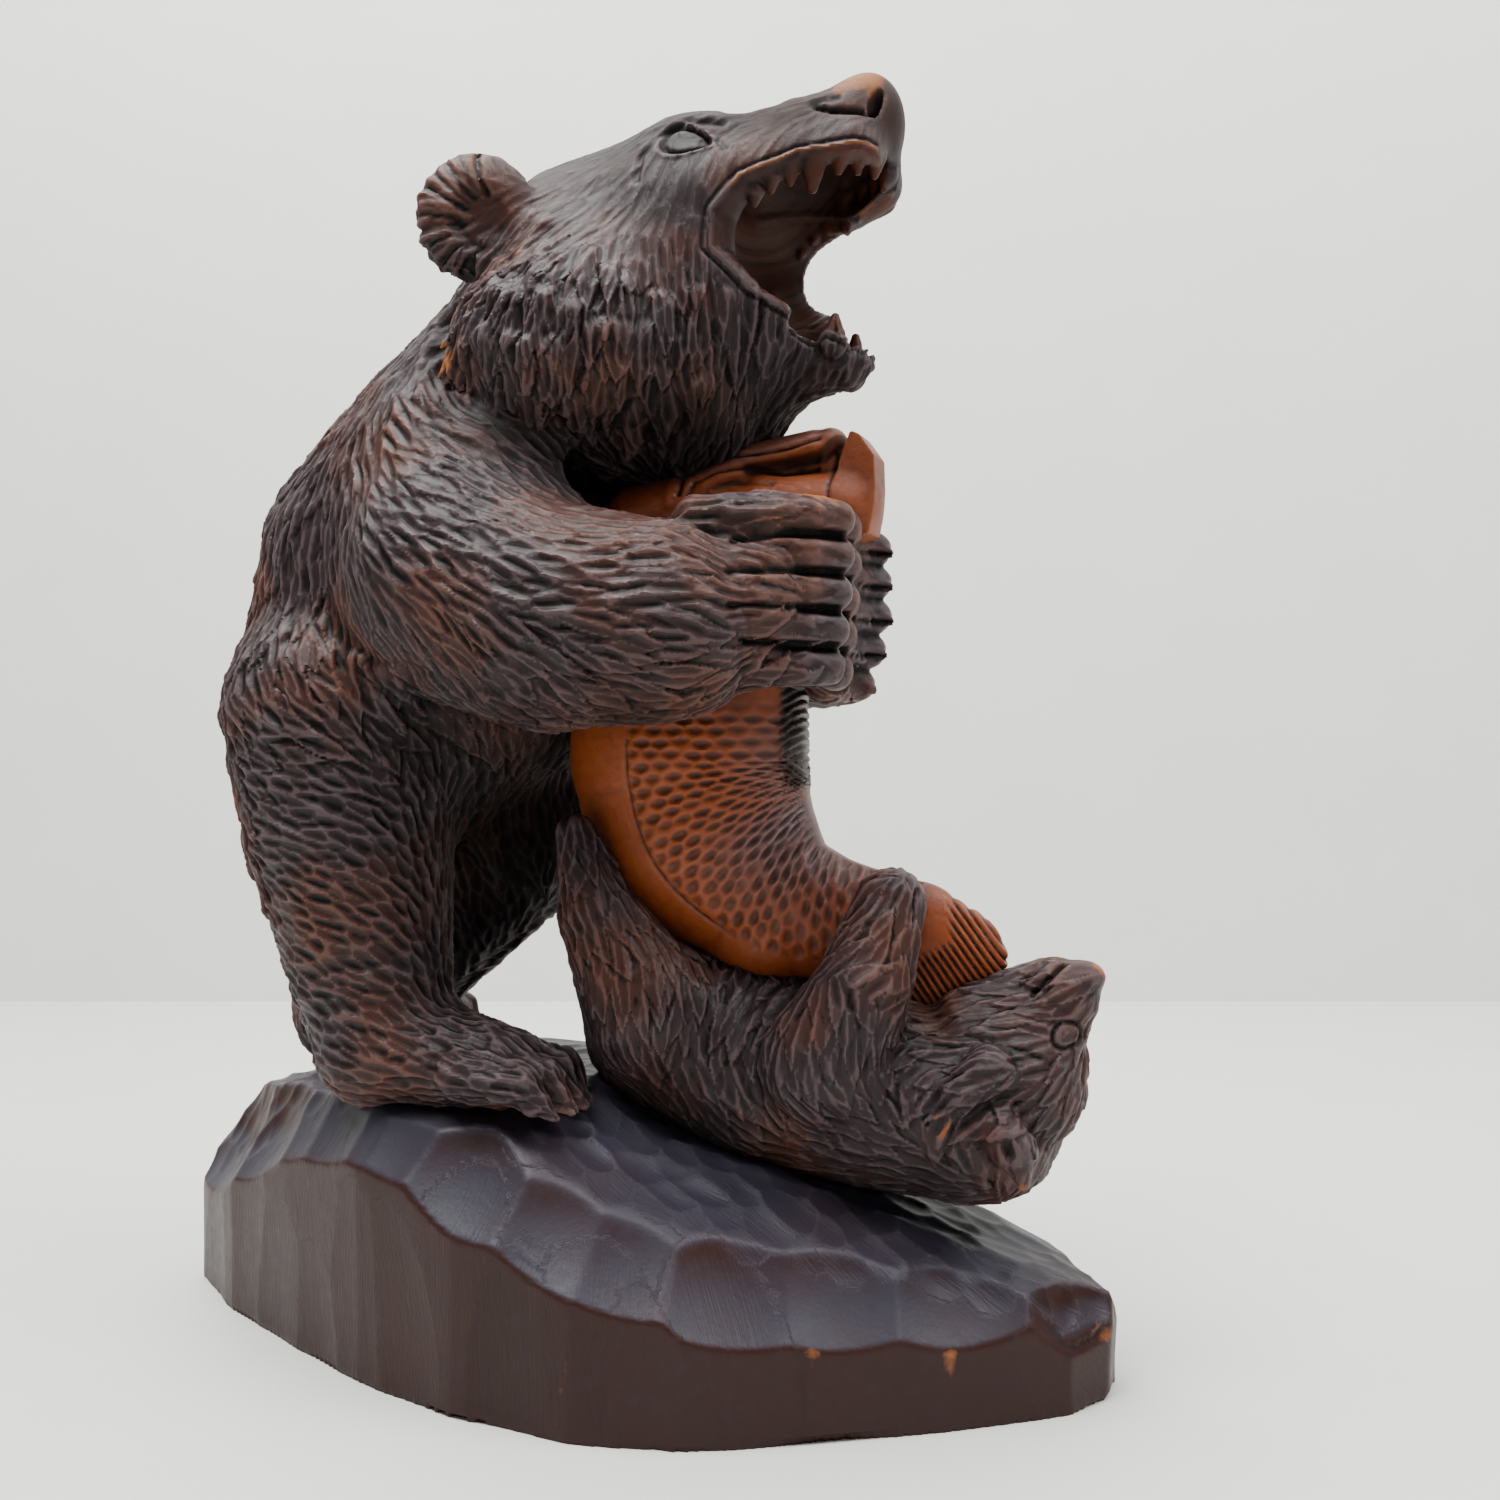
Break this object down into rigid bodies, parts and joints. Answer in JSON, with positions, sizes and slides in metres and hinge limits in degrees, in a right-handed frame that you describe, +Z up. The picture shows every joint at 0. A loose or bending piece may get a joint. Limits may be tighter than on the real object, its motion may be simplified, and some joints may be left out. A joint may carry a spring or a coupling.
{
  "type": "carved wooden bear statue",
  "caption": "Hand-carved wooden mother bear roaring over a cub, holding a salmon in its forepaws, on a rough-hewn wedge-shaped plinth.",
  "frame": {"origin": "centre of the underside of the plinth, on the floor plane", "axes": "+X towards the pointed end of the plinth, the way the bear faces; +Y towards the bear's left side; +Z up"},
  "size_m": [0.401, 0.2102, 0.4988],
  "materials": {
    "carved_wood": "dark brown stain with a dull sheen, worn to orange wood on the ridges and the fish"
  },
  "bodies": {
    "root": {"bear_salmon_cub_and_base": "carved_wood"}
  },
  "joints": []
}
